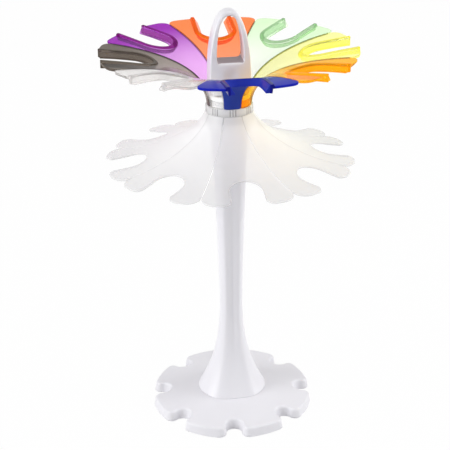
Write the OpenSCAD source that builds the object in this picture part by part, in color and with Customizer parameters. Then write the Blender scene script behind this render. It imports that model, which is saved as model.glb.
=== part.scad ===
// Carousel stand for eight pipettes. A lobed weighted base carries a fluted column that turns on it.
// The column's head holds eight slotted petals, eight guide petals below them and a carrying handle.
// Millimetres, +Z up. The origin is the centre of the base on the surface that the stand rests on.

/* [Base] */
// Diameter of the base at the foot of its side wall
base_d = 170; // [150:1:200]
// Height of the base's top where the column meets it
base_h = 16; // [15:0.5:18]
// Height of the base's top at its rim
rim_h = 11.5; // [10.5:0.5:12.5]
// Wall of the base cover
base_wall = 3; // [2.4:0.1:3.2]
// Width of each notch in the rim
notch_w = 16; // [12:0.5:20]
// Distance from the axis to the inner end of each notch
notch_in = 67.5; // [66.5:0.5:72]
// Radius of the rounded corners at each notch's mouth
notch_mouth = 7; // [4:0.5:8]
// Angle that the base stands turned from the head at rest
base_turn = 7.1; // [0:0.1:22]
// Diameter of the rubber feet
foot_d = 10; // [8:0.5:11]
// Distance from the base's rim in to the centres of the rubber feet
foot_inset = 11; // [10:0.5:13]
// Diameter of the ballast disc
ballast_d = 114; // [80:1:126]
// Thickness of the ballast disc
ballast_t = 6; // [4:0.5:6.5]

/* [Column] */
// Radius of the column at its narrowest
waist_r = 11.8; // [11.4:0.1:14]
// Height of the narrowest place
waist_z = 122; // [110:1:140]
// Radius of the flared foot
flare_r = 36; // [34:0.5:38]
// Radius at the top of the column
head_r = 18.2; // [17:0.1:19.5]
// Height of the shoulder at the top of the column
column_top = 306; // [280:1:330]
// Depth of the front and rear flutes
flute_depth = 3.4; // [2:0.1:4]
// Half of the angle that each flute covers
flute_half_angle = 40; // [30:1:48]
// Diameter of the steel rod through the column
rod_d = 8; // [6:0.5:9]
// Height of the bearing tower inside the flared foot
tower_h = 38; // [34:0.5:44]
// Radius of the bearing tower
tower_r = 14; // [12:0.5:15]

/* [Head] */
// Radius of the seats for the guide petals on the hub
hub_r = 20.8; // [20.4:0.1:21.2]
// Radius of the seats for the upper petals on the hub
hub_neck_r = 18.5; // [18:0.1:19]
// Outer radius of the clear ring
ring_r = 23.4; // [23.2:0.1:24.5]
// Height of the clear ring
ring_h = 7; // [6.5:0.5:9]
// Height of the ring that locks the guide petals
lock_h = 5; // [3:0.5:6]
// Height of the ring that clamps the upper petals
clamp_h = 4; // [3.5:0.5:6]

/* [Upper petals] */
// Radius of the petals' outer edge
petal_r = 126; // [118:1:134]
// Outer radius of the neck that the petals form
neck_r = 22.3; // [22:0.1:23.2]
// Rise from the foot of the neck to the petals' edge
petal_rise = 51.5; // [44:0.5:60]
// Thickness of the petals
petal_t = 2.2; // [1.8:0.1:2.4]
// Width of the slot between its walls
slot_w = 35; // [30:0.5:38]
// Distance from the axis to the wall at the slot's inner end
slot_in = 73; // [68:0.5:78]
// Width of the ledge inside the slot's wall, on which a pipette's shoulder rests
ledge_w = 4; // [1:0.5:5]
// Thickness of the ledge
ledge_t = 1.6; // [1:0.1:2.5]
// Width of the thick band round the slot
band_w = 4.5; // [3:0.5:8]
// Height of the band above the petal
band_rise = 1; // [0.6:0.1:2]
// Further height of the band at its upturned tips
lip_rise = 0.8; // [0.4:0.1:3]
// Reach of the tips past the petal's edge
lip_reach = 0.5; // [0.4:0.1:3]
// Depth of the slot's wall below the petal
wall_drop = 4; // [3:0.1:7]
// Thickness of the slot's wall
wall_t = 2; // [1.4:0.1:3]
// Radius of the petals' outer corners
petal_corner = 9; // [5:0.5:12]

/* [Guide petals] */
// Radius of the guide petals' outer edge
guide_r = 124; // [116:1:130]
// Outer radius of the guide petals' neck
guide_neck_r = 23.6; // [23.2:0.1:24.4]
// Drop from the guide petals' neck to their edge
guide_drop = 50; // [42:1:56]
// Thickness of the guide petals
guide_t = 2; // [1.6:0.1:2.2]
// Width of the slot in a guide petal
guide_slot_w = 32; // [28:0.5:36]
// Distance from the axis to the inner end of that slot
guide_slot_in = 83; // [76:0.5:88]
// Radius of the guide petals' outer corners
guide_corner = 13; // [8:0.5:14]
// Radius of the rounded corners at the slot's mouth
guide_mouth = 8; // [4:0.5:9]

/* [Handle] */
// Width of the handle
handle_w = 40.6; // [38:0.2:42]
// Height of the handle above the clamp ring
handle_h = 82.5; // [76:0.5:90]
// Depth of the handle, front to back
handle_depth = 24; // [20:0.5:25]
// Depth of the handle at its top
apex_depth = 14; // [10:0.5:18]
// Width of the finger opening
window_w = 26.4; // [24:0.2:28]
// Height of the finger opening's sill above the clamp ring
sill_h = 32.3; // [30:0.1:36]
// Thickness of the handle's arch at its top
arch_t = 5.5; // [4:0.1:7]
// Squareness of the arch, where 2 is an ellipse
arch_power = 2.35; // [2:0.05:2.8]

/* [Fits] */
// Gap between neighbouring petals
petal_gap = 0.6; // [0.3:0.1:1.2]
// Clearance between pieces that are assembled and don't move
seat_gap = 0.1; // [0.05:0.01:0.2]
// Radial clearance of the rod in its bushes
run_fit = 0.05; // [0.02:0.01:0.08]
// Gap between the turning foot and the base
foot_gap = 0.6; // [0.4:0.1:1]

/* [Hidden] */
$fn = 64;

sites = 8;
pitch = 360 / sites;
far = 400;
eps = 0.01;

// Base, from the floor up
base_r = base_d / 2;
cover_z = 1.2;
side_draft = 1.5;
rim_round = 3;
rim_spare = 0.5;
plate_z = 1.6;
plate_t = 2.4;
plate_top = plate_z + plate_t;
plate_gap = 1.2;
foot_recess = 1;
foot_circle = base_r - foot_inset;
boss_r = 4;
ballast_gap = 2.5;
boss_circle = ballast_d / 2 + ballast_gap + boss_r;
screw_lean = 8;
screw_sites = 4;
screw_r = 1.5;
screw_head_r = 2.9;
screw_head_h = 1.1;
base_screw_l = 6;
ballast_hole_r = 19;
rib_inset = 12;
rib_circle = ballast_d / 2 - rib_inset;
rib_t = 2;
cap_r = 38;

// Bearing in the flared foot
rod_r = rod_d / 2;
bush_r = rod_r + 3;
bush_l = 10;
bush_flange_r = rod_r + 5;
bush_flange_t = 1.5;
thrust_t = 1.5;
thrust_r = tower_r - 2.5;
play = 0.1;
ceiling_z = base_h - base_wall;
lower_flange_z = ceiling_z + 0.3;
washer_t = 1.2;
washer_r = rod_r + 4;
washer_z = lower_flange_z - play - washer_t;
nut_h = 0.85 * rod_d;
nut_r = 0.94 * rod_d;
nut_z = washer_z - nut_h;
rod_z = nut_z - 0.4;
upper_flange_z = tower_h;
thrust_z = upper_flange_z + bush_flange_t;
web_z = thrust_z + thrust_t + play;
web_t = 6;

// Column
foot_z = base_h + foot_gap;
foot_wall = 2.8;
column_bore_r = rod_r + 2;
spigot_r = 14;
spigot_h = 16;
flare_power = 2.55;
head_power = 1.3;

// Head, from the column's shoulder up
hub_z = column_top;
snap_t = 1.1;
snap_z = hub_z + 5.8;
snap_seat_r = hub_r - 1;
snap_r = hub_r + 2.6;
lock_z = snap_z + snap_t + seat_gap;
lock_r = hub_r + 3.4;
guide_foot_z = lock_z + lock_h;
guide_foot_h = 8;
ring_z = guide_foot_z + guide_foot_h;
neck_z = ring_z + ring_h;
petal_foot_h = 7;
clamp_z = neck_z + petal_foot_h;
handle_z = clamp_z + clamp_h;
hub_web_z = hub_z + spigot_h;
hub_web_t = 6;
hub_bore_r = 11.8;
handle_flat = 19;
clamp_r = hub_neck_r + 1.6;
clamp_screw_circle = 15.2;
clamp_screw_l = 9;
hub_screw_circle = 8.9;
hub_screw_l = 12;
hub_screw_head_h = 2;
tab_w = 6;
tab_h = 4.6;
tab_in = hub_r + 0.2;
tab_out = tab_in + 1.5;

// Handle
spigot_z = neck_z - 1;
insert_r = rod_r + 2;
insert_h = 11;
rod_top = spigot_z + insert_h - 1;
arch_z = handle_z + 11;
handle_top = handle_z + handle_h;
sill_z = handle_z + sill_h;
window_top = handle_top - arch_t;
taper_z = sill_z + 2;
sill_round = 4;
recess_r = 16;
recess_depth = 1.6;
recess_h = 25;

// Curves of the petals, as Bezier control points in radius and height
petal_curve = [
    [neck_r, neck_z],
    [neck_r + 0.2, neck_z + 0.54 * petal_rise],
    [0.452 * petal_r, neck_z + 0.895 * petal_rise],
    [petal_r, neck_z + petal_rise]
];
guide_curve = [
    [guide_neck_r, ring_z],
    [guide_neck_r + 5.9, ring_z - 0.37 * guide_drop],
    [0.516 * guide_r, ring_z - 0.89 * guide_drop],
    [guide_r, ring_z - guide_drop]
];
curve_steps = 14;
lip_start = 0.86;
ledge_short = 1;

// ---- curves ----

function bezier(p, t) =
    pow(1 - t, 3) * p[0] + 3 * pow(1 - t, 2) * t * p[1] + 3 * (1 - t) * t * t * p[2] + pow(t, 3) * p[3];

function bezier_slope(p, t) =
    pow(1 - t, 2) * (p[1] - p[0]) + 2 * (1 - t) * t * (p[2] - p[1]) + t * t * (p[3] - p[2]);

// A point at distance d to the left of the curve
function beside(p, t, d) =
    let (v = bezier_slope(p, t)) bezier(p, t) + d * [-v[1], v[0]] / norm(v);

function reversed(list) = [for (i = [len(list) - 1 : -1 : 0]) list[i]];

// Outline between two distances from a curve, from t0 to its end
function strip(p, t0, low, high) = concat(
    [for (i = [0 : curve_steps]) let (t = t0 + (1 - t0) * i / curve_steps) beside(p, t, low)],
    reversed([for (i = [0 : curve_steps]) let (t = t0 + (1 - t0) * i / curve_steps) beside(p, t, high)])
);

function band_height(t) =
    petal_t + band_rise + lip_rise * pow(max(0, (t - lip_start) / (1 - lip_start)), 2);

// Outline of the band or wall along the slot, carried on past the petal's edge
function band_strip(t0, low) =
    let (
        end = bezier_slope(petal_curve, 1),
        reach = (lip_reach + 2) * end / norm(end),
        lift = [0, 2 * lip_rise * (lip_reach + 2) / ((1 - lip_start) * 3 * norm(end))]
    )
    concat(
        [for (i = [0 : curve_steps]) let (t = t0 + (1 - t0) * i / curve_steps) beside(petal_curve, t, low)],
        [beside(petal_curve, 1, low) + reach, beside(petal_curve, 1, band_height(1)) + reach + lift],
        reversed([
            for (i = [0 : curve_steps]) let (t = t0 + (1 - t0) * i / curve_steps)
            beside(petal_curve, t, band_height(t))
        ])
    );

// Radius of the column at a height, away from its flutes
function column_r(z) = z > waist_z
    ? waist_r + (head_r - waist_r) * pow((z - waist_z) / (column_top - waist_z), head_power)
    : waist_r + (flare_r - waist_r) * pow((waist_z - z) / (waist_z - foot_z), flare_power);

// Share of the flute's depth at an angle from the front or the rear
function flute_share(a) =
    let (off = min(abs(a), abs(abs(a) - 180)))
    off < flute_half_angle ? pow(cos(90 * off / flute_half_angle), 2) : 0;

// Half of an arch: a superellipse of half width w and height h
function arch(w, h) = [
    for (a = [0 : 7.5 : 180])
    [sign(cos(a)) * w * pow(abs(cos(a)), 2 / arch_power), h * pow(abs(sin(a)), 2 / arch_power)]
];

function handle_half_depth(z) = z < taper_z
    ? handle_depth / 2
    : apex_depth / 2 + (handle_depth - apex_depth) / 2 * (1 - pow((z - taper_z) / (handle_top - taper_z), 2));

// ---- plan shapes, all for the site at the front ----

// The part of a corner at c that lies outside a circle of radius r, between directions u and v
module corner_waste(c, r, u, v) {
    difference() {
        polygon([c, c + (r + 1) * u, c + (r + 1) * (u + v) / (1 + u * v), c + (r + 1) * v]);
        translate(c) circle(r);
    }
}

// A slot with a round inner end, open outwards
module slot_plan(w, inner) {
    translate([0, -(inner + w / 2)]) circle(w / 2);
    translate([-w / 2, -far]) square([w, far - (inner + w / 2)]);
}

// The corners that round a slot's mouth on an outer edge of radius r_out
module mouth_plan(w, r_out, round) {
    x = w / 2 + round;
    y = sqrt(pow(r_out - round, 2) - x * x);
    for (side = [-1, 1])
        corner_waste([side * x, -y], round, [-side, 0], [side * x, -y] / (r_out - round));
}

// One petal's plan: a sector with rounded outer corners and a slot
module petal_plan(r_out, corner, w, inner) {
    half = pitch / 2;
    lean = asin((petal_gap / 2 + corner) / (r_out - corner));
    dir = [sin(half - lean), -cos(half - lean)];
    difference() {
        intersection() {
            circle(r_out);
            translate([0, -petal_gap / 2 / sin(half)])
                polygon([[0, 0], [far * tan(half), -far], [-far * tan(half), -far]]);
        }
        for (side = [-1, 1])
            corner_waste(
                [side * dir[0], dir[1]] * (r_out - corner), corner,
                [side * cos(half), sin(half)], [side * dir[0], dir[1]]
            );
        slot_plan(w, inner);
    }
}

// The band of width w that runs round the slot
module band_plan(w) {
    intersection() {
        circle(petal_r + lip_reach);
        difference() {
            slot_plan(slot_w + 2 * w, slot_in - w);
            slot_plan(slot_w, slot_in);
        }
    }
}

// The ledge inside the slot's wall, short of the petal's edge, with its root inside the wall
module ledge_plan() {
    root = wall_t / 2;
    intersection() {
        circle(petal_r - ledge_short);
        difference() {
            slot_plan(slot_w + 2 * root, slot_in - root);
            slot_plan(slot_w - 2 * ledge_w, slot_in + ledge_w);
        }
    }
}

// The base's outline, drawn in by a distance, with spare at its rim for a turned side to cut
module base_plan(inset) {
    rim_r = base_r + rim_spare - inset;
    difference() {
        circle(rim_r);
        for (i = [0 : sites - 1]) rotate(i * pitch - base_turn) {
            slot_plan(notch_w + 2 * inset, notch_in - inset);
            mouth_plan(notch_w + 2 * inset, rim_r, notch_mouth - inset);
        }
    }
}

// ---- shared solids ----

// A shape turned round the axis and kept within a plan
module turned_in_plan(z_low, z_high) {
    intersection() {
        rotate_extrude() children(0);
        translate([0, 0, z_low]) linear_extrude(z_high - z_low) children(1);
    }
}

module ring(r_out, r_in, z, h) {
    translate([0, 0, z]) difference() {
        cylinder(r = r_out, h = h);
        translate([0, 0, -1]) cylinder(r = r_in, h = h + 2);
    }
}

// A screw with its head's top at the origin, pointing down
module screw(shaft_r, head_r, head_h, length) {
    translate([0, 0, -head_h]) cylinder(r = head_r, h = head_h);
    translate([0, 0, -head_h - length]) cylinder(r = shaft_r, h = length + eps);
}

module at_base_screws() {
    for (i = [0 : screw_sites - 1])
        rotate((i + 0.25) * 360 / screw_sites + screw_lean - base_turn) translate([0, -boss_circle, 0]) children();
}

module at_lobes() {
    for (i = [0 : sites - 1])
        rotate((i + 0.5) * pitch - base_turn) translate([0, -foot_circle, 0]) children();
}

module at_clamp_screws() {
    for (i = [0 : 3]) rotate(45 + 90 * i) translate([0, -clamp_screw_circle, 0]) children();
}

module at_hub_screws() {
    for (side = [-1, 1]) translate([side * hub_screw_circle, 0, 0]) children();
}

// ---- base ----

module base_cover() {
    color("white") difference() {
        union() {
            difference() {
                turned_in_plan(0, far) {
                    polygon([
                        [0, cover_z], [base_r, cover_z],
                        for (a = [0 : 15 : 75])
                            [base_r - side_draft - rim_round + rim_round * cos(a),
                             rim_h - rim_round + rim_round * sin(a)],
                        [cap_r, base_h], [0, base_h]
                    ]);
                    base_plan(0);
                }
                turned_in_plan(0, far) {
                    polygon([
                        [0, 0], [base_r - base_wall, 0], [base_r - side_draft - base_wall, rim_h - base_wall - 1],
                        [base_r - side_draft - base_wall - 2, rim_h - base_wall],
                        [cap_r, ceiling_z], [0, ceiling_z]
                    ]);
                    base_plan(base_wall);
                }
            }
            translate([0, 0, ceiling_z]) cylinder(r = tower_r, h = tower_h - ceiling_z);
            at_base_screws() translate([0, 0, plate_top])
                cylinder(r = boss_r, h = rim_h - plate_top);
            ring(rib_circle + rib_t / 2, rib_circle - rib_t / 2, plate_top + ballast_t,
                 ceiling_z + base_wall / 4 - plate_top - ballast_t);
        }
        cylinder(r = bush_r, h = far);
        cylinder(r = bush_flange_r + seat_gap, h = lower_flange_z + bush_flange_t);
        at_base_screws() cylinder(r = screw_r + seat_gap / 2, h = plate_top + base_screw_l);
    }
}

module base_ballast() {
    color("dimgray") ring(ballast_d / 2, ballast_hole_r, plate_top, ballast_t);
}

module base_plate() {
    color("whitesmoke") difference() {
        intersection() {
            translate([0, 0, plate_z]) linear_extrude(plate_t) base_plan(base_wall + plate_gap);
            cylinder(r = base_r - base_wall - plate_gap, h = far);
        }
        at_lobes() cylinder(r = foot_d / 2 + seat_gap, h = plate_z + foot_recess);
        at_base_screws() {
            cylinder(r = screw_head_r + 0.2, h = plate_z + screw_head_h + seat_gap);
            cylinder(r = screw_r + seat_gap / 2, h = far);
        }
    }
}

module base_screws() {
    color("silver") at_base_screws()
        translate([0, 0, plate_z + seat_gap]) mirror([0, 0, 1])
            screw(screw_r, screw_head_r, screw_head_h, base_screw_l);
}

module rubber_feet() {
    color("#404040") at_lobes() cylinder(r = foot_d / 2, h = plate_z + foot_recess);
}

// A flanged bearing bush, with its flange below or above its sleeve
module bush(z, flange_up) {
    color("ivory") difference() {
        union() {
            translate([0, 0, z]) cylinder(r = bush_flange_r, h = bush_flange_t);
            translate([0, 0, flange_up ? z - bush_l : z]) cylinder(r = bush_r, h = bush_l);
        }
        cylinder(r = rod_r + run_fit, h = far);
    }
}

module bush_lower() { bush(lower_flange_z, false); }

module bush_upper() { bush(upper_flange_z, true); }

module thrust_washer() {
    color("gainsboro") ring(thrust_r, rod_r + 0.6, thrust_z, thrust_t);
}

// ---- column ----

// The outer surface of the column, ring by ring from the foot to the shoulder
module fluted_body() {
    around = 48;
    foot_rings = 16;
    rings = 28;
    heights = [
        for (i = [0 : rings])
        i < foot_rings
            ? foot_z + (waist_z - foot_z) * pow(i / foot_rings, 1.2)
            : waist_z + (column_top - waist_z) * (i - foot_rings) / (rings - foot_rings)
    ];
    surface = [
        for (z = heights) for (j = [0 : around - 1])
        let (a = j * 360 / around, r = column_r(z) - flute_depth * flute_share(a > 180 ? a - 360 : a))
        [r * sin(a), -r * cos(a), z]
    ];
    low = len(surface);
    polyhedron(
        points = concat(surface, [[0, 0, foot_z], [0, 0, column_top]]),
        faces = concat(
            [for (j = [0 : around - 1]) [low, j, (j + 1) % around]],
            [for (j = [0 : around - 1]) [low + 1, rings * around + (j + 1) % around, rings * around + j]],
            [
                for (i = [0 : rings - 1]) for (j = [0 : around - 1]) for (half = [0, 1])
                let (a = i * around + j, b = i * around + (j + 1) % around)
                half == 0 ? [a, a + around, b] : [b, a + around, b + around]
            ]
        )
    );
}

module column() {
    color("white") difference() {
        union() {
            fluted_body();
            translate([0, 0, column_top - 1]) cylinder(r = spigot_r, h = spigot_h + 1);
        }
        rotate_extrude() polygon([
            [0, foot_z - 1], [flare_r - flute_depth - foot_wall, foot_z - 1],
            for (i = [0 : 6]) let (z = foot_z + (web_z - foot_z) * i / 6)
                [column_r(z) - flute_depth - foot_wall, z],
            [0, web_z]
        ]);
        cylinder(r = rod_r + seat_gap, h = far);
        translate([0, 0, web_z + web_t]) cylinder(r = column_bore_r, h = far);
        at_hub_screws() translate([0, 0, column_top + spigot_h - hub_screw_l])
            cylinder(r = screw_r + seat_gap / 2, h = far);
    }
}

module tie_rod() {
    color("silver") translate([0, 0, rod_z]) cylinder(r = rod_r, h = rod_top - rod_z);
}

module rod_washer() {
    color("silver") ring(washer_r, rod_r + seat_gap, washer_z, washer_t);
}

module rod_nut() {
    color("silver") translate([0, 0, nut_z]) difference() {
        cylinder(r = nut_r, h = nut_h, $fn = 6);
        translate([0, 0, -1]) cylinder(r = rod_r + seat_gap / 2, h = nut_h + 2);
    }
}

// ---- head ----

// A round shape cut to the flats that key the handle to the hub
module keyed(r, flat, z, h) {
    intersection() {
        translate([0, 0, z]) cylinder(r = r, h = h);
        translate([-far / 2, -flat / 2, 0]) cube([far, flat, far + far]);
    }
}

module hub() {
    color("white") difference() {
        rotate_extrude() polygon([
            [0, hub_z], [hub_r, hub_z],
            [hub_r, snap_z], [snap_seat_r, snap_z],
            [snap_seat_r, snap_z + snap_t + seat_gap], [hub_r, snap_z + snap_t + seat_gap],
            [hub_r, ring_z], [hub_neck_r, ring_z],
            [hub_neck_r, clamp_z], [0, clamp_z]
        ]);
        translate([0, 0, hub_z - 1]) cylinder(r = spigot_r + seat_gap, h = spigot_h + 1);
        cylinder(r = column_bore_r, h = far);
        keyed(hub_bore_r, handle_flat + 2 * seat_gap, hub_web_z + hub_web_t, far);
        at_hub_screws() cylinder(r = screw_r + seat_gap / 2, h = far);
        at_clamp_screws() translate([0, 0, clamp_z - clamp_screw_l]) cylinder(r = screw_r + seat_gap / 2, h = far);
    }
}

module hub_screws() {
    color("silver") at_hub_screws()
        translate([0, 0, hub_web_z + hub_web_t + hub_screw_head_h])
            screw(screw_r, screw_head_r - 0.1, hub_screw_head_h, hub_web_t + hub_screw_l - seat_gap);
}

module guide_lock_ring() {
    color("whitesmoke") ring(lock_r, hub_r + seat_gap, lock_z, lock_h);
}

module snap_ring() {
    color("silver") difference() {
        ring(snap_r, snap_seat_r + seat_gap, snap_z, snap_t);
        translate([-5, 0, snap_z - 1]) cube([10, far, snap_t + 2]);
    }
}

module clear_ring() {
    color("#e8eef0", 0.5) difference() {
        ring(ring_r, hub_neck_r + seat_gap, ring_z, ring_h);
        for (i = [0 : sites - 1]) rotate(i * pitch) intersection() {
            ring(tab_out + seat_gap, tab_in - seat_gap, ring_z - 1, tab_h + 1 + 2 * seat_gap);
            translate([-tab_w / 2 - seat_gap, -far, 0]) cube([tab_w + 2 * seat_gap, far, far + far]);
        }
    }
}

module petal_clamp_ring() {
    color("white") difference() {
        ring(clamp_r, hub_bore_r, clamp_z, clamp_h);
        at_clamp_screws() {
            cylinder(r = screw_r + seat_gap / 2, h = far + far);
            translate([0, 0, handle_z - screw_head_h - seat_gap]) cylinder(r = screw_head_r, h = far);
        }
    }
}

module clamp_screws() {
    color("silver") at_clamp_screws() translate([0, 0, handle_z - seat_gap])
        screw(screw_r, screw_head_r - seat_gap, screw_head_h,
              clamp_h - screw_head_h - seat_gap + clamp_screw_l - seat_gap);
}

// An upper petal at the front: its blade and foot, then the band, the wall and the ledge round its slot
module petal() {
    low = neck_z - wall_drop;
    high = neck_z + 2 * petal_rise;
    slot_t = 0.4;
    turned_in_plan(low, high) {
        union() {
            polygon(strip(petal_curve, 0, 0, petal_t));
            translate([hub_neck_r + seat_gap, neck_z])
                square([neck_r - petal_t / 2 - hub_neck_r - seat_gap, petal_foot_h]);
        }
        petal_plan(petal_r, petal_corner, slot_w, slot_in);
    }
    turned_in_plan(low, high) {
        polygon(band_strip(slot_t, 0));
        band_plan(band_w);
    }
    turned_in_plan(low, high) {
        polygon(band_strip(slot_t, -wall_drop));
        band_plan(wall_t);
    }
    turned_in_plan(low, high) {
        polygon(strip(petal_curve, slot_t, -wall_drop, ledge_t - wall_drop));
        ledge_plan();
    }
}

// A guide petal at the front: its blade with a foot on the lock ring and a tab into the clear ring
module guide_petal() {
    turned_in_plan(ring_z - 2 * guide_drop, ring_z + ring_h) {
        polygon(concat(
            [for (i = [0 : curve_steps]) bezier(guide_curve, i / curve_steps)],
            reversed([
                for (i = [1 : curve_steps]) let (p = beside(guide_curve, i / curve_steps, -guide_t))
                if (p[1] < guide_foot_z - 1) p
            ]),
            [[lock_r + 0.5, guide_foot_z], [hub_r + seat_gap, guide_foot_z], [hub_r + seat_gap, ring_z]]
        ));
        difference() {
            petal_plan(guide_r, guide_corner, guide_slot_w, guide_slot_in);
            mouth_plan(guide_slot_w, guide_r, guide_mouth);
        }
    }
    intersection() {
        ring(tab_out, tab_in, ring_z - 1, tab_h + 1);
        translate([-tab_w / 2, -far, 0]) cube([tab_w, far, far + far]);
    }
}

module petal_at(i, tint) { color(tint, 0.8) rotate(i * pitch) petal(); }

module guide_at(i) { color("#f2f4f5", 0.7) rotate(i * pitch) guide_petal(); }

// ---- handle ----

module handle() {
    color("white") difference() {
        union() {
            intersection() {
                rotate([90, 0, 0]) translate([0, 0, -far / 2]) linear_extrude(far) union() {
                    translate([0, arch_z]) polygon(arch(handle_w / 2, handle_top - arch_z));
                    translate([-handle_w / 2, handle_z]) square([handle_w, arch_z - handle_z + eps]);
                }
                rotate([90, 0, 90]) translate([0, 0, -far / 2]) linear_extrude(far) polygon(concat(
                    [[-handle_depth / 2, handle_z], [handle_depth / 2, handle_z]],
                    [for (i = [0 : 8]) let (z = taper_z + (handle_top - taper_z) * i / 8) [handle_half_depth(z), z]],
                    [for (i = [8 : -1 : 0]) let (z = taper_z + (handle_top - taper_z) * i / 8) [-handle_half_depth(z), z]]
                ));
                rotate_extrude() polygon([
                    [0, handle_z], [neck_r - 5.3, handle_z], [handle_w / 2, handle_z + 8],
                    [handle_w / 2 + 3.6, handle_z + 16], [handle_w / 2 + 3.6, handle_top + 1], [0, handle_top + 1]
                ]);
            }
            keyed(hub_bore_r - 0.2, handle_flat, spigot_z, handle_z - spigot_z + 1);
        }
        rotate([90, 0, 0]) translate([0, 0, -far / 2]) linear_extrude(far) intersection() {
            translate([0, sill_z]) polygon(arch(window_w / 2, window_top - sill_z));
            union() {
                translate([-far / 2, sill_z + sill_round]) square([far, far]);
                translate([sill_round - window_w / 2, sill_z])
                    square([window_w - 2 * sill_round, 2 * sill_round]);
                for (side = [-1, 1]) translate([side * (window_w / 2 - sill_round), sill_z + sill_round])
                    circle(sill_round);
            }
        }
        for (side = [-1, 1])
            translate([0, side * (handle_depth / 2 + recess_r - recess_depth), handle_z])
                cylinder(r = recess_r, h = recess_h);
        translate([0, 0, spigot_z - 1]) cylinder(r = insert_r + seat_gap / 2, h = insert_h + 1);
    }
}

module handle_insert() {
    color("goldenrod") ring(insert_r, rod_r + seat_gap / 2, spigot_z, insert_h - seat_gap);
}

// ---- parts ----

base_cover();
base_ballast();
base_plate();
base_screws();
rubber_feet();
bush_lower();
bush_upper();
thrust_washer();
column();
tie_rod();
rod_washer();
rod_nut();
hub();
hub_screws();
guide_lock_ring();
snap_ring();
clear_ring();
petal_clamp_ring();
clamp_screws();
handle();
handle_insert();
petal_at(0, "#2b3f9e");  // petal_blue
petal_at(1, "#f79a1e");  // petal_amber
petal_at(2, "#f3ec6a");  // petal_yellow
petal_at(3, "#c9efc9");  // petal_green
petal_at(4, "#ff7a2e");  // petal_orange
petal_at(5, "#b455dc");  // petal_purple
petal_at(6, "#80786a");  // petal_smoke
petal_at(7, "#eceff0");  // petal_clear
guide_at(0);  // guide_petal_1
guide_at(1);  // guide_petal_2
guide_at(2);  // guide_petal_3
guide_at(3);  // guide_petal_4
guide_at(4);  // guide_petal_5
guide_at(5);  // guide_petal_6
guide_at(6);  // guide_petal_7
guide_at(7);  // guide_petal_8
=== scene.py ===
import math

import bpy
import numpy as np
from mathutils import Matrix, Vector


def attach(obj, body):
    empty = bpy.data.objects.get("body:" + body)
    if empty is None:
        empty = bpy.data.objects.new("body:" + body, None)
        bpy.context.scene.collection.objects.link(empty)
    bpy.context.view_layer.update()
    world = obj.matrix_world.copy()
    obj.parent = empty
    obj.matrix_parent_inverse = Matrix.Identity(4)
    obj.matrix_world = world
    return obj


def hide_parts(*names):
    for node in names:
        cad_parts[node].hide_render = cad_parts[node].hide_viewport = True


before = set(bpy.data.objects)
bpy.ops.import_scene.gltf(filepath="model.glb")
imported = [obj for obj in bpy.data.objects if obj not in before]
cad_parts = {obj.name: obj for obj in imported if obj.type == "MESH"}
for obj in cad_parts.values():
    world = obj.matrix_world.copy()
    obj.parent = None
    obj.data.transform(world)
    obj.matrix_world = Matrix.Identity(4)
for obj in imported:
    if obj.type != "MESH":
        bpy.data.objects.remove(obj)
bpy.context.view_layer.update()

# Lengths are in millimetres, as in the part's source, and turn into metres where a mesh is made.
MM = 0.001

# The eight sites round the stand, and the colours of the upper petals from the front one on
SITES = 8
PITCH = 2 * math.pi / SITES
COLOURS = ("blue", "amber", "yellow", "green", "orange", "purple", "smoke", "clear")
# The gap between neighbouring petals, and the heights of the clear ring's foot and the petals' neck
GAP, RING_Z, NECK_Z = 0.6, 326.0, 333.0
# Edges sharper than this stay sharp in the smooth meshes
SHARP = math.radians(50)


# ---- meshes ----

def new_mesh(name, points, faces, kinds=None):
    """A smooth mesh object from points in millimetres. kinds gives each face's material slot."""
    mesh = bpy.data.meshes.new(name)
    mesh.from_pydata([tuple(p) for p in np.asarray(points, float) * MM], [], faces)
    mesh.validate()
    if kinds is not None:
        mesh.polygons.foreach_set("material_index", np.asarray(kinds, np.int32))
    obj = bpy.data.objects.new(name, mesh)
    bpy.context.scene.collection.objects.link(obj)
    bpy.context.view_layer.objects.active = obj
    obj.select_set(True)
    bpy.ops.object.mode_set(mode="EDIT")
    bpy.ops.mesh.select_all(action="SELECT")
    bpy.ops.mesh.normals_make_consistent(inside=False)
    bpy.ops.object.mode_set(mode="OBJECT")
    obj.select_set(False)
    mesh.polygons.foreach_set("use_smooth", [True] * len(mesh.polygons))
    mesh.set_sharp_from_angle(angle=SHARP)
    return obj


def loop_faces(rings, around, closed, start=0):
    """Quads between rings of points that each close on themselves."""
    faces = []
    for i in range(rings if closed else rings - 1):
        a, b = start + i * around, start + (i + 1) % rings * around
        for j in range(around):
            k = (j + 1) % around
            faces.append((a + j, a + k, b + k, b + j))
    return faces


def chain(name, rings):
    """A closed solid from rings of points that follow each other out, over, in and back."""
    points = [p for ring in rings for p in ring]
    return new_mesh(name, points, loop_faces(len(rings), len(rings[0]), True))


def polar(r, angle, z):
    """A point at a radius, an angle from the front and a height."""
    return r * math.sin(angle), -r * math.cos(angle), z


def round_off(edge, radius):
    """How far a rounded edge lies below the plain surface at a distance from that edge."""
    inward = np.clip(radius - np.asarray(edge, float), 0, radius)
    return radius - np.sqrt(np.maximum(radius ** 2 - inward ** 2, 0))


def smooth(x, low, high):
    """A soft step from 0 at low to 1 at high."""
    t = np.clip((np.asarray(x, float) - low) / (high - low), 0, 1)
    return t * t * (3 - 2 * t)


def way_along(path):
    """The distance from a path's first point to each of its points."""
    return np.concatenate([[0], np.cumsum(np.linalg.norm(np.diff(path, axis=0), axis=1))])


# ---- materials ----

# Most of a noise texture's values lie between these
NOISE_LOW, NOISE_HIGH = 0.3, 0.7
# Distances from the axis, in metres, over which a petal's colour and a guide's density change
COLOUR_RUN, VEIL_RUN = (0.02, 0.12), (0.025, 0.065)


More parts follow.
